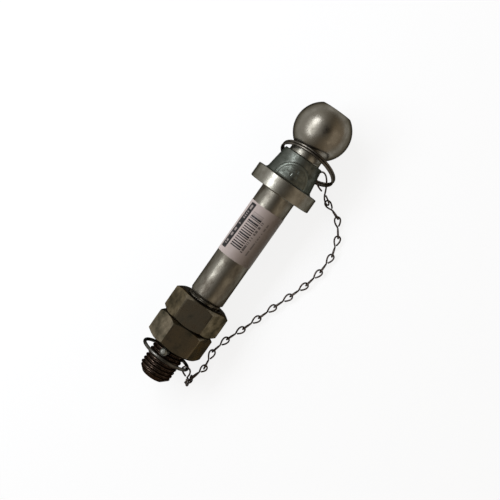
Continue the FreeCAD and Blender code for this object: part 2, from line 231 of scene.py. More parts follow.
# Pad: turn of its middle from the top, bare edge above it, soft edge, share of its rise from which the
# skin is worn, and its raised bars as (height x, sideways y, half width)
PAD_TURN = math.radians(3)
PAD_BARE = 0.0006
PAD_SOFT = 0.0009
PAD_WORN = 0.7
PAD_BARS = (
    (0.0195, -0.0055, 0.0022), (0.0195, 0.0000, 0.0016), (0.0195, 0.0055, 0.0020),
    (0.0240, -0.0040, 0.0018), (0.0240, 0.0030, 0.0024),
)
BAR_HALF_H = 0.0009
BAR_ROUND = 0.0004
BAR_SOFT = 0.0008
BAR_RISE = 0.0003

# Nuts: slope of the chamfer, height up to which its rows are close, softness of its edge, how far inside
# it the face ends, and the bore's broken edge
NUT_CHAMFER = math.radians(30)
CHAMFER_REACH = 0.0026
CORNER_SOFT = 0.00012
FACE_INSET = 0.0003
BORE_BREAK = 0.0012

# Rings: the linch ring's hinge before the pin leans, and half the gap between its two stubs
LINCH_HINGE = (-0.1692, 0, -0.0203)
STUB_GAP = 0.001
# The split ring's place on the neck, its gaps to the table and between its turns, where its ends are, the
# angle in which the turns cross over, and how many such angles each end stops short by
NECK_RING_X = 0.0346
NECK_RING_Y = -0.0053
NECK_RING_CLEAR = 0.00015
NECK_TURN_GAP = 0.0001
NECK_RING_END = math.radians(235)
NECK_RING_CROSS = math.radians(18)
NECK_RING_SHORT = 1.4

# Chain
# The most that sin t sin(t / 2) comes to, which sets a loop's width
LOOP_PEAK = 0.77
# Degrees of turn by which a loop's wire stops short of the neck, and the same for the opened hook
FREE_END = 42
HOOK_FREE_END = 55
# Gap between the last loop and the linch ring's wire
WIDE_GAP = 0.0008
# Two places close together on the split ring, which give its direction at the hook
HOOK_TURNS = np.radians([-35.0, -36.0])
# Degrees by which the first and the last links are rolled about their length
FIRST_ROLLS = (3.5, -8.0)
LAST_ROLLS = (-3.0, -9.0, -24.5, -16.0)

# Label: air under the paper, and its pattern sizes in millimetres. Real fibres are finer, and are drawn as
# coarse as they need to show.
PAPER_CLEAR = 0.0001
SMUDGE_MM = 100 / 9
FIBRE_MM = 2 / 3
BAR_GAP_MM = 2.1

# Length that one unit of a UV map stands for, except on the label
UV_UNIT = 0.1

# Stage: lamps, half the table's width, the table's grain in millimetres, the camera's sensor in
# millimetres, and the room's tones from its right wall to its left one
STRIP_LAMP = {"size": (1.1, 0.30), "place": (-0.02, 0.62, 0.62), "aim": (-0.02, 0, 0), "tint": "#F2F6FF"}
FILL_LAMP = {"size": (1.8, 0.9), "place": (-0.05, -1.3, 0.95), "aim": (0, 0, 0), "tint": "#FFF4E8"}
FLOOR_HALF = 2.5
TABLE_GRAIN_MM = 2.5
SENSOR_MM = 36.0
ROOM_TONES = (
    (0.0, "#AD9D8A"), (0.18, "#C4B4A0"), (0.32, "#A6967F"), (0.44, "#746A5C"), (0.60, "#A39C92"),
    (0.80, "#DDD9D2"), (1.0, "#D2CFCA"),
)
# Dark place overhead: how directions are drawn out, its middle, its inner and outer edge, and its tone
DARK_STRETCH = (0.6, 1.0, 1.0)
DARK_MIDDLE = (0.10, -0.16, 0.97)
DARK_EDGES = (0.10, 0.46)
DARK_TONE = 0.03


# Frames

def turn_about(axis, angle):
    """Rotation matrix about a coordinate axis (0 for X, 1 for Y) by an angle, right-handed."""
    c, s = math.cos(angle), math.sin(angle)
    if axis == 0:
        return np.array([[1, 0, 0], [0, c, -s], [0, s, c]])
    return np.array([[c, 0, s], [0, 1, 0], [-s, 0, c]])


def laid(points):
    """Points of the pin's own frame as they lie on the table: each is turned about Y by the slope."""
    return points @ turn_about(1, -bpy.context.scene.tow_stage.slope).T


def leaned(points):
    """Points of the linch pin's frame as they lie: turned about X by the pin's lean, then sloped."""
    return laid(points @ turn_about(0, bpy.context.scene.tow_ring.linch_lean).T)


def unit(vectors):
    """Vectors scaled to length one along their last axis."""
    return vectors / np.linalg.norm(vectors, axis=-1, keepdims=True)


# Surfaces

def sheet_faces(rows, columns, wrap, ring):
    """Corner numbers of a grid's quads; wrap joins its last column to its first, ring its last row."""
    r = np.arange(rows if ring else rows - 1)[:, None]
    c = np.arange(columns if wrap else columns - 1)[None, :]
    after, below = (c + 1) % columns, (r + 1) % rows
    return np.stack([r * columns + c, r * columns + after, below * columns + after, below * columns + c],
                    axis=-1).reshape(-1, 4)


def enclosed(points, faces):
    """Signed volume inside quads: the sum over each quad's two triangles of a . (b x c) / 6."""
    a, b, c, d = (points[faces[:, k]] for k in range(4))
    return float((a * (np.cross(b, c) + np.cross(c, d))).sum() / 6)


def surface(name, grid, materials, wrap=True, ring=False, uv=None, zones=None, sharp=35):
    """An object from a grid of points: quads between rows, a fan to the middle of each end row as caps.

    A grid closed both ways (ring) or open both ways (not wrap) has no caps.
    Faces point outwards: where the signed volume comes out negative, each face is reversed.
    """
    rows, columns = grid.shape[:2]
    points = grid.reshape(-1, 3)
    quads = sheet_faces(rows, columns, wrap, ring)
    flipped = wrap and enclosed(points, quads) < 0
    if flipped:
        quads = quads[:, ::-1]
    faces = quads.tolist()
    zone = [0] * len(faces) if zones is None else np.repeat(zones, columns).tolist()
    if wrap and not ring:
        middles = np.stack([grid[0].mean(axis=0), grid[-1].mean(axis=0)])
        points = np.concatenate([points, middles])
        c = np.arange(columns)
        after = (c + 1) % columns
        first = np.stack([after, c, np.full(columns, rows * columns)], axis=1)
        last = np.stack([c, after, np.full(columns, rows * columns + 1)], axis=1)
        last[:, :2] += (rows - 1) * columns
        fans = np.concatenate([first, last])
        if flipped:
            fans = fans[:, ::-1]
        faces += fans.tolist()
        zone += [zone[0]] * columns + [zone[-1]] * columns
    mesh = bpy.data.meshes.new(name)
    mesh.from_pydata(points.tolist(), [], faces)
    for material in materials:
        mesh.materials.append(material)
    mesh.polygons.foreach_set("material_index", zone)
    mesh.polygons.foreach_set("use_smooth", [True] * len(faces))
    if uv is not None:
        layer = mesh.uv_layers.new(name="surface")
        corners = np.empty(len(mesh.loops), dtype=np.int32)
        mesh.loops.foreach_get("vertex_index", corners)
        flat = np.concatenate([uv.reshape(-1, 2), uv[0].mean(axis=0)[None], uv[-1].mean(axis=0)[None]])
        layer.data.foreach_set("uv", flat[corners].ravel())
    mesh.update()
    if sharp:
        mesh.set_sharp_from_angle(angle=math.radians(sharp))
    made = bpy.data.objects.new(name, mesh)
    bpy.context.scene.collection.objects.link(made)
    return made


def smooth_path(path, spacing, passes):
    """A path through the points at even spacing, each point averaged with its neighbours passes times."""
    steps = np.concatenate([[0], np.cumsum(np.linalg.norm(np.diff(path, axis=0), axis=1))])
    count = max(8, int(steps[-1] / spacing))
    even = np.linspace(0, steps[-1], count)
    path = np.stack([np.interp(even, steps, path[:, k]) for k in range(3)], axis=1)
    for _ in range(passes):
        path[1:-1] = (path[:-2] + 2 * path[1:-1] + path[2:]) / 4
    return path


def wire(name, path, diameter, material, sides):
    """A round wire along a path: each point's circle lies across the path's direction there.

    The circle's first direction is carried from point to point, less its part along the path. Each end
    is rounded by three circles that shrink as a quarter ellipse, half a radius deep.
    """
    along = unit(np.gradient(path, axis=0))
    across = np.empty_like(along)
    # No path starts along the direction given here, so the two make one across the wire
    side = np.cross(along[0], (0.31, 0.17, 0.93))
    for k, direction in enumerate(along):
        side = unit(side - direction * (side @ direction))
        across[k] = side
    other = np.cross(along, across)
    turns = np.arange(sides) * 2 * math.pi / sides
    circle = across[:, None] * np.cos(turns)[None, :, None] + other[:, None] * np.sin(turns)[None, :, None]
    radius = diameter / 2
    grid = path[:, None] + circle * radius
    bow = np.radians([75, 50, 25])
    start = path[0] - along[0] * (radius * 0.5 * np.sin(bow))[:, None]
    stop = path[-1] + along[-1] * (radius * 0.5 * np.sin(bow[::-1]))[:, None]
    head = start[:, None] + circle[:1] * (radius * np.cos(bow))[:, None, None]
    tail = stop[:, None] + circle[-1:] * (radius * np.cos(bow[::-1]))[:, None, None]
    grid = np.concatenate([head, grid, tail])
    steps = np.concatenate([[0], np.cumsum(np.linalg.norm(np.diff(grid.mean(axis=1), axis=0), axis=1))])
    uv = np.stack(np.broadcast_arrays(turns[None, :] / (2 * math.pi), steps[:, None] / UV_UNIT), axis=-1)
    return surface(name, grid, [material], uv=uv, sharp=0)


def rounded_profile(corners, arc_steps=5):
    """An outline through (x, r, rounding, spacing) corners: arcs at rounded corners, straight between.

    Each arc touches both sides at rounding / tan(half the angle) from its corner. The straight that
    leaves a corner is divided by that corner's spacing.
    """
    bends = []
    for k, (x, r, rounding, _) in enumerate(corners):
        here = np.array([x, r])
        if rounding:
            before = unit(np.array(corners[k - 1][:2]) - here)
            after = unit(np.array(corners[k + 1][:2]) - here)
            half = math.acos(float(before @ after)) / 2
            centre = here + unit(before + after) * rounding / math.sin(half)
            a, b = here + before * rounding / math.tan(half), here + after * rounding / math.tan(half)
            share = np.linspace(0, 1, arc_steps + 1)[:, None]
            bends.append(centre + unit((a - centre) * (1 - share) + (b - centre) * share) * rounding)
        else:
            bends.append(here[None])
    rows = [bends[0]]
    for (_, _, _, spacing), bend, after in zip(corners, bends, bends[1:]):
        start, stop = bend[-1], after[0]
        steps = max(1, int(np.linalg.norm(stop - start) / spacing)) if spacing else 1
        share = np.arange(1, steps)[:, None] / steps
        rows += [start + (stop - start) * share, after]
    return np.concatenate(rows)


def soft_step(value, edge, width):
    """0 below the edge and 1 above it, with the curve 3 t^2 - 2 t^3 across the width."""
    t = np.clip((value - edge) / width + 0.5, 0, 1)
    return t * t * (3 - 2 * t)


# Materials

def linear(code):
    """An sRGB hex value as linear red, green, blue and alpha."""
    values = np.array([int(code[k:k + 2], 16) for k in (1, 3, 5)]) / 255
    straight = np.where(values <= 0.04045, values / 12.92, ((values + 0.055) / 1.055) ** 2.4)
    return (*straight.tolist(), 1.0)


def add_node(tree, kind, settings=None, **inputs):
    """Adds a node, sets its settings, and fills or links the inputs named with underscores for spaces."""
    node = tree.nodes.new(kind)
    for key, value in (settings or {}).items():
        setattr(node, key, value)
    for key, value in inputs.items():
        socket = node.inputs[int(key[1:])] if key[1:].isdigit() else node.inputs[key.replace("_", " ")]
        if isinstance(value, bpy.types.NodeSocket):
            tree.links.new(value, socket)
        else:
            socket.default_value = value
    return node


def new_finish(name):
    """An empty material with its tree, shader and object coordinates."""
    material = bpy.data.materials.new(name)
    material.use_nodes = True
    tree = material.node_tree
    tree.nodes.clear()
    shader = add_node(tree, "ShaderNodeBsdfPrincipled")
    out = add_node(tree, "ShaderNodeOutputMaterial", Surface=shader.outputs["BSDF"])
    out.location = (300, 0)
    place = add_node(tree, "ShaderNodeTexCoord")
    return material, tree, shader, place.outputs["Object"]


def worn_metal(name, code, dark, rough, blotch_mm, grain_mm, grain, turned_mm=0.0, turned=0.0,
               along=1.0, worn=None):
    """Steel with blotches of a darker tone, a fine grain, and turning marks round the pin's axis.

    Blotches change colour and roughness over blotch_mm; the grain is bumps of grain_mm; turning marks
    are rings turned_mm apart along the pin, drawn as waves in X. Where along is under 1, blotches and
    grain are drawn out along the pin. A worn colour shows where the mesh's "raised" attribute is high.
    Real turning marks and grain are finer, and are drawn as coarse as they need to show.
    """
    material, tree, shader, place = new_finish(name)
    stretched = add_node(tree, "ShaderNodeMapping", None, Vector=place,
                         Scale=(along, 1.0, 1.0)).outputs[0]
    blotch = add_node(tree, "ShaderNodeTexNoise", None, Vector=stretched, Scale=1 / (blotch_mm * MM),
                      Detail=6.0, Roughness=0.62).outputs[0]
    fine = add_node(tree, "ShaderNodeTexNoise", None, Vector=stretched, Scale=1 / (grain_mm * MM),
                    Detail=3.0, Roughness=0.55).outputs[0]
    tone = add_node(tree, "ShaderNodeMapRange", None, Value=blotch, From_Min=0.35,
                    From_Max=0.7).outputs[0]
    base = add_node(tree, "ShaderNodeMix", {"data_type": "RGBA"}, _0=tone, _6=linear(code),
                    _7=linear(dark)).outputs[2]
    if worn:
        raised = add_node(tree, "ShaderNodeAttribute", {"attribute_name": "raised"}).outputs["Fac"]
        base = add_node(tree, "ShaderNodeMix", {"data_type": "RGBA"}, _0=raised, _6=base,
                        _7=linear(worn)).outputs[2]
    tree.links.new(base, shader.inputs["Base Color"])
    # Dark blotches are duller
    dull = add_node(tree, "ShaderNodeMapRange", None, Value=tone, To_Min=rough * 0.8, To_Max=rough * 1.5)
    tree.links.new(dull.outputs[0], shader.inputs["Roughness"])
    shader.inputs["Metallic"].default_value = 1.0
    # Oil on the skin takes light away at a glance, so that outlines show dark
    shader.inputs["Specular Tint"].default_value = linear("#4A4A4A")
    bump = add_node(tree, "ShaderNodeBump", None, Height=fine, Strength=grain, Distance=0.0002)
    if turned:
        # At scale 1 a wave's bands are 2 pi / 20 apart, which is about 2 / 6.28
        rings = add_node(tree, "ShaderNodeTexWave", {"bands_direction": "X"}, Vector=place,
                         Scale=2 / 6.28 / (turned_mm * MM), Distortion=1.5, Detail=2.0,
                         Detail_Scale=1.0).outputs[1]
        bump = add_node(tree, "ShaderNodeBump", None, Height=rings, Strength=turned, Distance=0.00005,
                        Normal=bump.outputs[0])
    tree.links.new(bump.outputs[0], shader.inputs["Normal"])
    return material


def make_finishes():
    """The steel finishes by name, from the colours in the sidebar."""
    tint = bpy.context.scene.tow_finish
    return {
        # Ball, turned and polished steel: soft streaks of light, broken by faint turning marks
        "ball": worn_metal("polished_ball_steel", tint.ball, dark="#6B675D", rough=0.31, blotch_mm=9,
                           grain_mm=0.5, grain=0.0, turned_mm=0.5, turned=0.06),
        # Cone, shot-blasted forging skin: broad dull gloss with a coarse grain, paler on raised edges
        "forged": worn_metal("blasted_forging_skin", tint.forged, dark="#41443D", rough=0.42, blotch_mm=5,
                             grain_mm=0.8, grain=0.45, worn="#5C6059"),
        # Flange and neck, turned steel: satin with fine rings from the lathe
        "turned": worn_metal("turned_flange_steel", tint.turned, dark="#625E54", rough=0.32, blotch_mm=10,
                             grain_mm=0.6, grain=0.05, turned_mm=0.4, turned=0.08),
        # Shank, drawn steel: satin, with dark smudges drawn out along it
        "shank": worn_metal("drawn_shank_steel", tint.shank, dark="#3F382F", rough=0.40, blotch_mm=13,
                            grain_mm=0.5, grain=0.04, turned_mm=0.35, turned=0.12, along=0.5),
        # Thread, rolled steel: brown with oil and dirt
        "thread": worn_metal("rolled_thread_steel", tint.thread, dark="#2C231E", rough=0.38, blotch_mm=3,
                             grain_mm=0.5, grain=0.15),
        # Nuts, dull zinc-plated steel: olive blotches and tumbling marks
        "nut": worn_metal("dull_plated_nut_steel", tint.nut, dark="#3B3930", rough=0.30, blotch_mm=10,
                          grain_mm=0.7, grain=0.10),
        # Linch pin, plated steel: pale and dull
        "plated": worn_metal("plated_pin_steel", tint.plated, dark="#5A5A54", rough=0.45, blotch_mm=4,
                             grain_mm=0.4, grain=0.08),
        # Rings, plated spring wire: bright lines along the wire
        "ring": worn_metal("plated_split_ring_wire", tint.ring, dark="#3B3833", rough=0.28, blotch_mm=5,
                           grain_mm=0.4, grain=0.08),
        "linch": worn_metal("plated_linch_ring_wire", tint.linch, dark="#3B3935", rough=0.28, blotch_mm=5,
                            grain_mm=0.4, grain=0.08),
        # Chain, plain bent wire: dark, with dull glints
        "chain": worn_metal("dull_chain_wire", tint.chain, dark="#25201D", rough=0.36, blotch_mm=3,
                            grain_mm=0.4, grain=0.10),
    }


FINISH = {}


def finish(name):
    """One of the steel finishes, made on first use."""
    if not FINISH:
        FINISH.update(make_finishes())
    return FINISH[name]


# Pieces

def pin_outline(p):
    """Rows of the forged pin's outline (x, r) and the zone of the band that starts at each row.

    Zones are 0 ball, 1 forging skin, 2 turned, 3 shank and 4 thread. The ball is an arc, and its flat a
    straight line to the middle.
    """
    end = -p.shank_len - p.thread_len
    shank_r, thread_r, neck_r = p.shank_d / 2, p.thread_d / 2, p.neck_d / 2
    flange_r, cone_r = p.flange_d / 2, p.cone_base_d / 2
    cone_top = p.flange_t + p.cone_h
    ball_r = p.ball_d / 2
    ball_x = cone_top + p.neck_len + math.sqrt(ball_r ** 2 - neck_r ** 2)
    parts = [
        (4, rounded_profile([
            (end, POLE_R, 0, END_STEP), (end, thread_r - p.thread_chamfer, CHAMFER_ROUND, THREAD_STEP),
            (end + p.thread_chamfer, thread_r, 0, THREAD_STEP),
            (-p.shank_len - THREAD_RUNOUT, thread_r, 0, RUNOUT_STEP), (-p.shank_len, shank_r, 0, 0)])),
        (3, rounded_profile([
            (-p.shank_len, shank_r, 0, SHANK_STEP), (0, shank_r, SHANK_FOOT_ROUND, 0),
            (0, flange_r - RIM_BAND, 0, 0)])),
        (2, rounded_profile([
            (0, flange_r - RIM_BAND, 0, 0), (0, flange_r, EDGE_ROUND, RIM_STEP),
            (p.flange_t, flange_r, EDGE_ROUND, 0), (p.flange_t, cone_r + CONE_LEDGE, 0, 0)])),
        (1, rounded_profile([
            (p.flange_t, cone_r + CONE_LEDGE, 0, 0), (p.flange_t, cone_r, CONE_FOOT_ROUND, CONE_STEP),
            (cone_top, p.cone_top_d / 2, EDGE_ROUND, 0), (cone_top, neck_r + NECK_LEDGE, 0, 0)])),
        (2, rounded_profile([
            (cone_top, neck_r + NECK_LEDGE, 0, 0), (cone_top, neck_r, EDGE_ROUND, NECK_STEP),
            (cone_top + p.neck_len, neck_r, 0, 0)])),
    ]
    start = math.asin(neck_r / ball_r)
    stop = math.acos(p.ball_flat / ball_r)
    turn = np.linspace(start, math.pi - stop, 64)
    ball = np.stack([ball_x - ball_r * np.cos(turn), ball_r * np.sin(turn)], axis=1)
    flat_x, flat_r = ball_x + p.ball_flat, ball_r * math.sin(stop)
    top = np.array([(flat_x, flat_r - FLAT_EDGE), (flat_x, flat_r / 2), (flat_x, POLE_R)])
    parts.append((0, np.concatenate([ball, top])))
    rows = np.concatenate([rows for _, rows in parts])
    zones = np.concatenate([np.full(len(rows), zone) for zone, rows in parts])
    # The turns next to the shank are clean steel
    zones = np.where((zones == 4) & (rows[:, 0] > -p.shank_len - CLEAN_TURNS), 3, zones)
    keep = np.concatenate([[True], np.linalg.norm(np.diff(rows, axis=0), axis=1) > 1e-7])
    return rows[keep], zones[keep][:-1]


def thread_radius(x, angle, p):
    """Radius of the rolled thread: a right-handed helix with flat crests and roots.

    The phase is x / pitch - angle / 360; its distance from the groove's middle gives the height.
    """
    phase = x / p.thread_pitch - angle / (2 * math.pi)
    height = np.clip((np.abs(2 * (phase % 1.0) - 1) - ROOT_SHARE) / FLANK_SHARE, 0, 1)
    # The root runs out, and the crest rises to the shank
    crest = p.thread_d / 2 + CREST_RISE * soft_step(x, -p.shank_len - CREST_SLOPE[0], CREST_SLOPE[1])
    filled = soft_step(x, -p.shank_len - ROOT_SLOPE[0], ROOT_SLOPE[1])
    root = p.thread_root + (p.thread_d / 2 - p.thread_root) * filled
    return root + (crest - root) * height


def pad_rise(x, y, p):
    """Rise of the arch-shaped pad on the cone at height x and sideways place y.

    Inside the arch (a half circle on two legs) the rise is the pad's; in the band along its edge it is
    twice that; and a few plain raised bars stand in its middle.
    """
    spring = p.flange_t + p.pad_leg
    reach = np.where(x < spring, np.abs(y), np.hypot(x - spring, y)) - p.pad_half_w
    inside = 1 - soft_step(reach, 0, PAD_SOFT)
    rim = inside * soft_step(reach, -p.pad_rim, PAD_SOFT)
    bars = np.zeros_like(x)
    for at_x, at_y, half in PAD_BARS:
        past_h, past_w = np.abs(x - at_x) - BAR_HALF_H, np.abs(y - at_y) - half
        apart = np.hypot(np.maximum(past_h, 0), np.maximum(past_w, 0))
        bars = np.maximum(bars, 1 - soft_step(apart, BAR_ROUND, BAR_SOFT))
    return inside * p.pad_rise + rim * p.pad_rise + bars * BAR_RISE


class TOW_OT_forge_pin(bpy.types.Operator):
    """Turns the forged pin's outline about X, cuts the thread and raises the pad on the cone"""
    bl_idname = "tow_ball.forge_pin"
    bl_label = "Forge the pin"

    def execute(self, context):
        p = context.scene.tow_pin
        outline, zones = pin_outline(p)
        # Columns are close together on top, where the pad is
        top = np.radians(np.linspace(30, 150, 116))
        rest = np.radians(np.linspace(150, 390, 86))[1:-1]
        angle = np.concatenate([top, rest])[None, :]
        x = np.broadcast_to(outline[:, :1], (len(outline), angle.shape[1])).copy()
        r = np.broadcast_to(outline[:, 1:], x.shape).copy()
        angle = np.broadcast_to(angle, x.shape)
        threaded = x < -p.shank_len - 1e-6
        r = np.where(threaded, np.minimum(r + 1e-9, thread_radius(x, angle, p)), r)
        # The cross-hole round the linch pin shows as a narrow gap pressed into the thread
        lean = context.scene.tow_ring.linch_lean
        side = np.cos(angle) * math.cos(lean) + np.sin(angle) * math.sin(lean)
        from_hole = np.hypot(x + HOLE_FROM_SEAT, side * r)
        r = np.where(threaded, r - HOLE_DEPTH * (1 - soft_step(from_hole, HOLE_R, HOLE_SOFT)), r)
        y = r * np.cos(angle - PAD_TURN)
        on_top = (np.sin(angle) > 0) & (x > p.flange_t + 1e-5) & (x < p.flange_t + p.cone_h - PAD_BARE)
        rise = np.where(on_top, pad_rise(x, y, p), 0)
        r = r + rise
        grid = laid(np.stack([x, r * np.cos(angle), r * np.sin(angle)], axis=-1))
        uv = np.stack([angle / (2 * math.pi), x / UV_UNIT], axis=-1)
        skins = [finish(name) for name in ("ball", "forged", "turned", "shank", "thread")]
        made = surface("forged_ball_pin", grid, skins, uv=uv, zones=zones, sharp=40)
        raised = made.data.attributes.new("raised", "FLOAT", "POINT")
        worn = np.clip((rise - PAD_WORN * p.pad_rise) / p.pad_rise, 0, 1)
        raised.data.foreach_set("value", np.concatenate([worn.ravel(), [0, 0]]))
        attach(made, "pin")
        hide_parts("ball_pin")
        return {"FINISHED"}


def nut_grid(s, low, turn):
    """Grid of a hexagon nut's skin: out along one face, up the flats, in along the other, down the bore.

    The hexagon's radius at an angle is half the width across flats over the cosine of the angle from the
    nearest flat; the chamfer's cone limits it near both faces, and a soft minimum joins the two.
    """
    angle = np.radians(np.arange(0, 360, 1.25))
    off_flat = (angle + math.radians(30)) % math.radians(60) - math.radians(30)
    hexagon = s.across_flats / 2 / np.cos(off_flat)
    near = np.concatenate([np.linspace(0.0001, CHAMFER_REACH, 14), [s.height / 2]])
    heights = np.concatenate([near, s.height - near[-2::-1]])
    limit = s.face_d / 2 + np.minimum(heights, s.height - heights) / math.tan(NUT_CHAMFER)
    a, b = hexagon[None, :], limit[:, None]
    flank = -CORNER_SOFT * np.logaddexp(-a / CORNER_SOFT, -b / CORNER_SOFT)
    face, bore = s.face_d / 2 - FACE_INSET, s.bore_d / 2
    # Round rows (r, height) before and after the flanks
    first = np.array([(bore + BORE_BREAK, 0), (face, 0)])
    last = np.array([(face, s.height), (bore + BORE_BREAK, s.height), (bore, s.height - BORE_BREAK),
                     (bore, BORE_BREAK)])
    level = np.ones(len(angle))
    r = np.concatenate([first[:, :1] * level, flank, last[:, :1] * level])
    x = low + np.concatenate([first[:, 1:], heights[:, None], last[:, 1:]]) * level
    # A flat faces up at turn 0; a positive turn rolls the nut towards -Y
    around = angle + math.radians(90) + turn
    return np.stack([x, r * np.cos(around), r * np.sin(around)], axis=-1)


class TOW_OT_screw_nuts(bpy.types.Operator):
    """Makes the two hexagon nuts with chamfered corners, faces and bore"""
    bl_idname = "tow_ball.screw_nuts"
    bl_label = "Screw on the nuts"

    def execute(self, context):
        s = context.scene.tow_nut
        nuts = (("upper_nut", s.upper_low_end, 0.0), ("lower_nut", s.lower_low_end, s.lower_turn))
        for name, low, turn in nuts:
            grid = laid(nut_grid(s, low, turn))
            made = surface("hexagon_" + name, grid, [finish("nut")], ring=True, sharp=30)
            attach(made, name + "_body")
            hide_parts(name)
        return {"FINISHED"}


def linch_ring_path(s):
    """The linch ring's wire: a stub out of the head, a round about the shaft, and a stub back in."""
    hinge = np.array(LINCH_HINGE)
    r = (s.linch_d - s.linch_wire) / 2
    opening = math.asin((s.linch_head_half_w + s.linch_wire) / r)
    a = np.linspace(opening, 2 * math.pi - opening, 120)
    arc = hinge + np.stack([0 * a, r * np.sin(a), r - r * np.cos(a)], axis=1)
    out = s.linch_head_half_w + s.linch_wire / 3
    stub = hinge + np.array([[0, STUB_GAP, 0], [0, out, 0]])
    back = hinge + np.array([[0, -out, 0], [0, -STUB_GAP, 0]])
    return smooth_path(np.concatenate([stub, arc, back]), spacing=0.0008, passes=3)


def neck_ring_frame(s):
    """Centre, sideways and upward directions of the split ring, before the pin is sloped."""
    stage = bpy.context.scene.tow_stage
    yaw, lean = s.neck_yaw, s.neck_lean
    aside = np.array([-math.sin(yaw), -math.cos(yaw), 0])
    level = np.array([math.cos(yaw), -math.sin(yaw), 0])
    up = level * math.sin(lean) + np.array([0, 0, math.cos(lean)])
    r = (s.neck_d - s.neck_wire) / 2
    reach = r * math.hypot(laid(aside)[2], laid(up)[2])
    thick = s.neck_wire / 2 + (s.neck_wire + NECK_TURN_GAP) / 2 * math.sin(lean)
    low = stage.table_z + NECK_RING_CLEAR + thick + reach - NECK_RING_X * math.sin(stage.slope)
    return np.array([NECK_RING_X, NECK_RING_Y, low / math.cos(stage.slope)]), aside, up


def neck_ring_path(s, turn, side):
    """Points of the split ring at turns from its right side: a circle, set aside along its axis by side."""
    centre, aside, up = neck_ring_frame(s)
    r = (s.neck_d - s.neck_wire) / 2
    turn, side = np.asarray(turn)[..., None], np.asarray(side)[..., None]
    return centre + r * (aside * np.cos(turn) + up * np.sin(turn)) + np.cross(aside, up) * side


class TOW_OT_bend_rings(bpy.types.Operator):
    """Bends the linch ring and the split ring from round wire, and finishes the linch pin"""
    bl_idname = "tow_ball.bend_rings"
    bl_label = "Bend the rings"

    def execute(self, context):
        s = context.scene.tow_ring
        path = leaned(linch_ring_path(s))
        linch = wire("linch_ring_wire", path, s.linch_wire, finish("linch"), sides=20)
        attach(linch, "linch_ring_body")
        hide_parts("linch_ring")
        half = 2 * math.pi - NECK_RING_CROSS * NECK_RING_SHORT
        turn = np.linspace(-half, half, 320)
        side = soft_step(turn, 0, 2 * NECK_RING_CROSS) * 2 - 1
        path = neck_ring_path(s, NECK_RING_END + turn, side * (s.neck_wire + NECK_TURN_GAP) / 2)
        split = wire("neck_split_ring", laid(path), s.neck_wire, finish("ring"), sides=16)
        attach(split, "pin")
        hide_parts("neck_ring")
        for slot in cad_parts["linch_pin"].material_slots:
            slot.link = "OBJECT"
            slot.material = finish("plated")
        return {"FINISHED"}


def loop_points(reach, half_w, start, stop):
    """A drop-shaped loop from its neck: along = reach (1 - cos t) / 2, across = peak sin t sin(t / 2).

    The peak is half_w / LOOP_PEAK, because that is the most that sin t sin(t / 2) comes to.
    """
    t = np.radians(np.linspace(start, stop, 60))
    return reach * (1 - np.cos(t)) / 2, half_w / LOOP_PEAK * np.sin(t) * np.sin(t / 2)


def carried(vector, before, after):
    """A vector turned by the smallest turn that takes one direction to the next (Rodrigues' formula)."""
    axis = np.cross(before, after)
    sine, cosine = np.linalg.norm(axis), before @ after
    if sine < 1e-9:
        return vector
    axis = axis / sine
    return vector * cosine + np.cross(axis, vector) * sine + axis * (axis @ vector) * (1 - cosine)


def rolled(vector, axis, angle):
    """A vector across the axis, turned about it."""
    return vector * math.cos(angle) + np.cross(axis, vector) * math.sin(angle) + axis * (axis @ vector) * (
        1 - math.cos(angle))


class TOW_OT_link_chain(bpy.types.Operator):
    """Bends the jack chain's links, each a wire with two loops at a right angle, from ring to ring"""
    bl_idname = "tow_ball.link_chain"
    bl_label = "Link the chain"

    def execute(self, context):
        s, rings = context.scene.tow_chain, context.scene.tow_ring
        joints = CHAIN_JOINTS * MM
        count = len(joints) - 1
        before = unit(joints[1] - joints[0])
        # The hook's first loop lies across the split ring's wire
        strand = np.diff(laid(neck_ring_path(rings, HOOK_TURNS, np.zeros(2))), axis=0)[0]
        normal = strand - before * (strand @ before)
        rolls = np.zeros(count)
        rolls[:len(FIRST_ROLLS)] = FIRST_ROLLS
        rolls[-len(LAST_ROLLS):] = LAST_ROLLS
        up_z = np.array([0, 0, 1.0])
        for k in range(count):
            near, far = joints[k], joints[k + 1]
            along = unit(far - near)
            if 0 < k < count - len(LAST_ROLLS):
                normal = up_z - along * along[2]
            else:
                normal = carried(normal, before, along)
            normal = rolled(unit(normal), along, math.radians(rolls[k]))
            before = along
            gap = np.linalg.norm(far - near)
            near_reach = far_reach = (s.link_len - gap) / 2
            near_half_w = far_half_w = s.loop_half_w
            free_end = FREE_END
            if k == 0:
                near_reach, far_reach = s.hook_slack, s.hook_far
                near_half_w, free_end = s.hook_half_w, HOOK_FREE_END
            if k == count - 1:
                far_reach = (rings.linch_wire + s.wire) / 2 + WIDE_GAP
                far_half_w = s.wide_half_w
            up = unit(normal - along * (normal @ along))
            side = np.cross(up, along)
            middle = far - along * (s.pitch / 2)
            a, b = loop_points(gap - s.pitch / 2 + near_reach, near_half_w, free_end, 360)
            first = middle - along * a[:, None] + side * b[:, None]
            a, b = loop_points(s.pitch / 2 + far_reach, far_half_w, 0, 360 - FREE_END)
            second = middle + along * a[1:, None] + up * b[1:, None]
            path = smooth_path(np.concatenate([first, second]), spacing=0.00045, passes=5)
            node = "chain_hook" if k == 0 else "chain_link_%02d" % k
            made = wire("wire_" + node, path, s.wire, finish("chain"), sides=10)
            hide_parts(node)
            if k >= 11:
                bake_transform(made)
            else:
                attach(made, "pin")
        return {"FINISHED"}


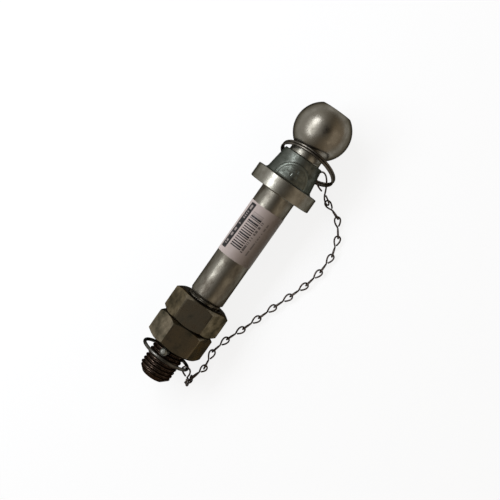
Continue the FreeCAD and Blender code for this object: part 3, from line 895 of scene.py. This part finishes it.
def printed_paper():
    """Pinkish label stock, printed: a dark band on its left, bars beside it, and rows of small marks.

    Uncoated paper, so it is matt, and it has taken up dirt from handling; towards its right edge it is also
    drawn darker, as painted shade where the paper turns away from the light. The UV map is in millimetres:
    U runs down the shank from the label's top, V from its left edge round to its right one. A stamp of
    ink is a number or socket, times 1 or 0 for each of its tests. Marks are cells along U whose random
    value passes a limit; bars start BAR_GAP_MM apart, each of a random width.
    """
    tint = bpy.context.scene.tow_finish
    material, tree, shader, place = new_finish("printed_label_paper")
    uv = add_node(tree, "ShaderNodeUVMap", {"uv_map": "surface"}).outputs[0]
    parts = add_node(tree, "ShaderNodeSeparateXYZ", None, Vector=uv)
    # The print runs a little aslant on the paper
    u = parts.outputs[0]
    v = add_node(tree, "ShaderNodeMath", {"operation": "MULTIPLY_ADD"}, _0=u, _1=0.04,
                 _2=parts.outputs[1]).outputs[0]

    def random_cells(size, seed):
        """A random value for each cell of a size along the shank."""
        count = add_node(tree, "ShaderNodeMath", {"operation": "DIVIDE"}, _0=u, _1=size).outputs[0]
        cell = add_node(tree, "ShaderNodeMath", {"operation": "FLOOR"}, _0=count).outputs[0]
        row = add_node(tree, "ShaderNodeMath", {"operation": "ADD"}, _0=cell, _1=seed).outputs[0]
        return add_node(tree, "ShaderNodeTexWhiteNoise", {"noise_dimensions": "1D"}, W=row).outputs[0]

    def stamp(ink, across, down, *tests):
        """Ink between two places across the label and two down it, where every further test holds."""
        tests = [(v, "GREATER_THAN", across[0]), (v, "LESS_THAN", across[1]),
                 (u, "GREATER_THAN", down[0]), (u, "LESS_THAN", down[1]), *tests]
        for value, test, limit in tests:
            holds = add_node(tree, "ShaderNodeMath", {"operation": test}, _0=value, _1=limit).outputs[0]
            ink = add_node(tree, "ShaderNodeMath", {"operation": "MULTIPLY"}, _0=ink, _1=holds).outputs[0]
        return ink

    # Pale marks in the dark band
    marks = stamp(0.6, (12.7, 15.2), (4.0, 44.0), (random_cells(1.0, 3.0), "GREATER_THAN", 0.5))
    spared = add_node(tree, "ShaderNodeMath", {"operation": "SUBTRACT"}, _0=1.0, _1=marks).outputs[0]
    width = add_node(tree, "ShaderNodeMath", {"operation": "MULTIPLY_ADD"},
                     _0=random_cells(BAR_GAP_MM, 12.0), _1=0.5, _2=0.3).outputs[0]
    count = add_node(tree, "ShaderNodeMath", {"operation": "DIVIDE"}, _0=u, _1=BAR_GAP_MM).outputs[0]
    share = add_node(tree, "ShaderNodeMath", {"operation": "FRACT"}, _0=count).outputs[0]
    faint = add_node(tree, "ShaderNodeMath", {"operation": "MULTIPLY"}, _0=random_cells(0.5, 17.0),
                     _1=0.5).outputs[0]
    # The band, the bars, a faint edge above them, and two rows of marks beside them
    stamps = [
        stamp(spared, (10.5, 17.4), (1.8, 46.5)),
        stamp(1.0, (19.3, 29.8), (10.5, 41.0), (share, "LESS_THAN", width)),
        stamp(faint, (19.3, 29.8), (7.0, 10.3)),
        stamp(0.7, (30.5, 32.6), (11.0, 42.0), (random_cells(0.8, 29.0), "GREATER_THAN", 0.35)),
        stamp(0.5, (35.8, 37.2), (8.0, 42.0), (random_cells(1.0, 43.0), "GREATER_THAN", 0.3)),
    ]
    ink = stamps[0]
    for more in stamps[1:]:
        ink = add_node(tree, "ShaderNodeMath", {"operation": "ADD"}, _0=ink, _1=more).outputs[0]
    ink = add_node(tree, "ShaderNodeMath", {"operation": "MINIMUM"}, _0=ink, _1=1.0).outputs[0]
    smudge = add_node(tree, "ShaderNodeTexNoise", None, Vector=place, Scale=1 / (SMUDGE_MM * MM),
                      Detail=4.0).outputs[0]
    # Painted shade: the paper is drawn darker towards its right edge, where it turns away from the light
    painted_shade_right_edge = add_node(tree, "ShaderNodeMapRange", None, Value=v, From_Min=16.0, From_Max=46.0, To_Min=0.0,
                      To_Max=0.85).outputs[0]
    colour_now = linear(tint.paper)
    for factor, code in ((smudge, "#998C86"), (painted_shade_right_edge, "#423B32"), (ink, tint.ink)):
        colour_now = add_node(tree, "ShaderNodeMix", {"data_type": "RGBA"}, _0=factor, _6=colour_now,
                              _7=linear(code)).outputs[2]
    tree.links.new(colour_now, shader.inputs["Base Color"])
    shader.inputs["Roughness"].default_value = 0.5
    shader.inputs["Specular IOR Level"].default_value = 0.2
    fibres = add_node(tree, "ShaderNodeTexNoise", None, Vector=place, Scale=1 / (FIBRE_MM * MM),
                      Detail=2.0).outputs[0]
    bump = add_node(tree, "ShaderNodeBump", None, Height=fibres, Strength=0.1, Distance=0.0001)
    tree.links.new(bump.outputs[0], shader.inputs["Normal"])
    return material


class TOW_OT_stick_label(bpy.types.Operator):
    """Wraps the paper label round the shank as a thin shell"""
    bl_idname = "tow_ball.stick_label"
    bl_label = "Stick on the label"

    def execute(self, context):
        s, p = context.scene.tow_label, context.scene.tow_pin
        r = p.shank_d / 2 + PAPER_CLEAR
        # The paper's section, carried round the shank: out along its outer side and back along its inner
        down = np.linspace(0, s.long, 24)
        down = np.concatenate([down, down[::-1]])
        radius = np.repeat([r + s.thickness, r], 24)
        around, down = np.meshgrid(np.linspace(s.left, -s.right, 100), down, indexing="ij")
        grid = np.stack([-s.from_seat - down, radius * np.sin(around), radius * np.cos(around)], axis=-1)
        uv = np.stack([down / MM, (s.left - around) * r / MM], axis=-1)
        made = surface("shank_label", laid(grid), [printed_paper()], uv=uv, sharp=60)
        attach(made, "pin")
        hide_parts("label")
        return {"FINISHED"}


# Stage

def placing(right, up, back, at):
    """A matrix that turns X, Y and Z to the three directions and moves to the place."""
    return Matrix([(*row, float(k)) for row, k in zip(np.stack([right, up, back], axis=1).tolist(), at)]
                  + [(0, 0, 0, 1)])


def lamp(name, power, size, place, aim, tint):
    """A rectangular soft lamp that faces its aim, long side along X where it can be."""
    data = bpy.data.lights.new(name, "AREA")
    data.shape = "RECTANGLE"
    data.size, data.size_y = size
    data.energy = power
    data.color = linear(tint)[:3]
    made = bpy.data.objects.new(name, data)
    bpy.context.scene.collection.objects.link(made)
    back = unit(np.array(place, float) - np.array(aim, float))
    x = unit(np.array([1.0, 0, 0]) - back * back[0])
    made.matrix_world = placing(x, np.cross(back, x), back, place)


def studio_world():
    """A room of soft greys by direction: pale wall on the left, warm wall on the right, dark overhead.

    The direction's Y part picks the tone, so that steel shows long streaks along the pin. A dark round
    place near the zenith stands for the unlit ceiling: the tone there is DARK_TONE, and grows to full
    with the distance from its middle.
    """
    world = bpy.data.worlds.new("studio_room")
    bpy.context.scene.world = world
    world.use_nodes = True
    tree = world.node_tree
    tree.nodes.clear()
    place = add_node(tree, "ShaderNodeTexCoord").outputs["Generated"]
    parts = add_node(tree, "ShaderNodeSeparateXYZ", None, Vector=place)
    across = add_node(tree, "ShaderNodeMapRange", None, Value=parts.outputs[1], From_Min=-1.0, From_Max=1.0)
    ramp = add_node(tree, "ShaderNodeValToRGB", None, Fac=across.outputs[0])
    elements = ramp.color_ramp.elements
    elements[0].position, elements[0].color = ROOM_TONES[0][0], linear(ROOM_TONES[0][1])
    elements[1].position, elements[1].color = ROOM_TONES[-1][0], linear(ROOM_TONES[-1][1])
    for at, code in ROOM_TONES[1:-1]:
        elements.new(at).color = linear(code)
    long = add_node(tree, "ShaderNodeVectorMath", {"operation": "MULTIPLY"}, _0=place, _1=DARK_STRETCH)
    off = add_node(tree, "ShaderNodeVectorMath", {"operation": "DISTANCE"}, _0=long.outputs[0],
                   _1=DARK_MIDDLE)
    dark = add_node(tree, "ShaderNodeMapRange", {"interpolation_type": "SMOOTHSTEP"},
                    Value=off.outputs["Value"], From_Min=DARK_EDGES[0], From_Max=DARK_EDGES[1],
                    To_Min=DARK_TONE, To_Max=1.0)
    room = add_node(tree, "ShaderNodeBackground", None, Color=ramp.outputs[0], Strength=dark.outputs[0])
    add_node(tree, "ShaderNodeOutputWorld", None, Surface=room.outputs[0])


class TOW_OT_set_stage(bpy.types.Operator):
    """Lays the pale floor, hangs the lamps and sets the camera at the photograph's angle"""
    bl_idname = "tow_ball.set_stage"
    bl_label = "Set the stage"

    def execute(self, context):
        s = context.scene.tow_stage
        span = np.array([-FLOOR_HALF, FLOOR_HALF])
        x, y = np.meshgrid(span, span, indexing="ij")
        material, tree, shader, place = new_finish("matt_white_table")
        # Matt painted board: an even white with a grain that hardly shows
        grain = add_node(tree, "ShaderNodeTexNoise", None, Vector=place, Scale=1 / (TABLE_GRAIN_MM * MM),
                         Detail=3.0).outputs[0]
        tone = add_node(tree, "ShaderNodeMix", {"data_type": "RGBA"}, _0=grain, _6=linear(s.floor_colour),
                        _7=linear("#F0F3F6")).outputs[2]
        tree.links.new(tone, shader.inputs["Base Color"])
        shader.inputs["Roughness"].default_value = 0.7
        shader.inputs["Specular IOR Level"].default_value = 0.2
        # Seen straight or in a reflection the table is mostly plain white, and keeps a soft shadow
        rays = add_node(tree, "ShaderNodeLightPath").outputs
        seen = add_node(tree, "ShaderNodeMath", {"operation": "MAXIMUM"}, _0=rays["Is Camera Ray"],
                        _1=rays["Is Glossy Ray"]).outputs[0]
        seen = add_node(tree, "ShaderNodeMath", {"operation": "MAXIMUM"}, _0=seen,
                        _1=rays["Is Transmission Ray"]).outputs[0]
        share = add_node(tree, "ShaderNodeMath", {"operation": "MULTIPLY"}, _0=seen,
                         _1=s.white_share).outputs[0]
        white = add_node(tree, "ShaderNodeEmission", None, Color=(1, 1, 1, 1), Strength=1.0).outputs[0]
        mixed = add_node(tree, "ShaderNodeMixShader", None, _0=share, _1=shader.outputs[0], _2=white)
        tree.links.new(mixed.outputs[0], tree.nodes["Material Output"].inputs["Surface"])
        grid = np.stack([x, y, np.full_like(x, s.table_z)], axis=-1)[:, ::-1]
        floor = surface("table_top", grid, [material], wrap=False, sharp=0)
        lamp("strip_left", s.strip_power, **STRIP_LAMP)
        lamp("fill_right", s.fill_power, **FILL_LAMP)
        studio_world()
        data = bpy.data.cameras.new("photo_camera")
        data.lens, data.sensor_width, data.sensor_fit = s.lens, SENSOR_MM, "HORIZONTAL"
        data.clip_start, data.clip_end = 0.01, 20.0
        camera = bpy.data.objects.new("photo_camera", data)
        context.scene.collection.objects.link(camera)
        right, back = unit(np.array(s.camera_right)), unit(np.array(s.camera_back))
        camera.matrix_world = placing(right, np.cross(back, right), back, s.camera_at)
        context.scene.camera = camera
        context.scene.view_settings.view_transform = "Standard"
        return {"FINISHED"}


OPERATORS = (TOW_OT_forge_pin, TOW_OT_screw_nuts, TOW_OT_bend_rings, TOW_OT_link_chain, TOW_OT_stick_label,
             TOW_OT_set_stage)


class TOW_PT_sidebar(bpy.types.Panel):
    """Lists the tow ball's sizes, colours and the steps that build it"""
    bl_idname = "TOW_PT_sidebar"
    bl_label = "Tow Ball"
    bl_space_type = "VIEW_3D"
    bl_region_type = "UI"
    bl_category = "Tow Ball"

    def draw(self, context):
        for attribute, group in GROUPS.items():
            box = self.layout.box()
            box.label(text=group.__name__)
            for key in group.__annotations__:
                box.prop(getattr(context.scene, attribute), key)
        for operator in OPERATORS:
            self.layout.operator(operator.bl_idname)


def register():
    for kind in (*GROUPS.values(), *OPERATORS, TOW_PT_sidebar):
        bpy.utils.register_class(kind)
    for attribute, group in GROUPS.items():
        setattr(bpy.types.Scene, attribute, PointerProperty(type=group))


def unregister():
    for attribute in GROUPS:
        delattr(bpy.types.Scene, attribute)
    for kind in reversed((*GROUPS.values(), *OPERATORS, TOW_PT_sidebar)):
        bpy.utils.unregister_class(kind)


def main():
    """Registers the classes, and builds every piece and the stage."""
    register()
    for operator in OPERATORS:
        group, step = operator.bl_idname.split(".")
        getattr(getattr(bpy.ops, group), step)()


if __name__ == "__main__":
    main()
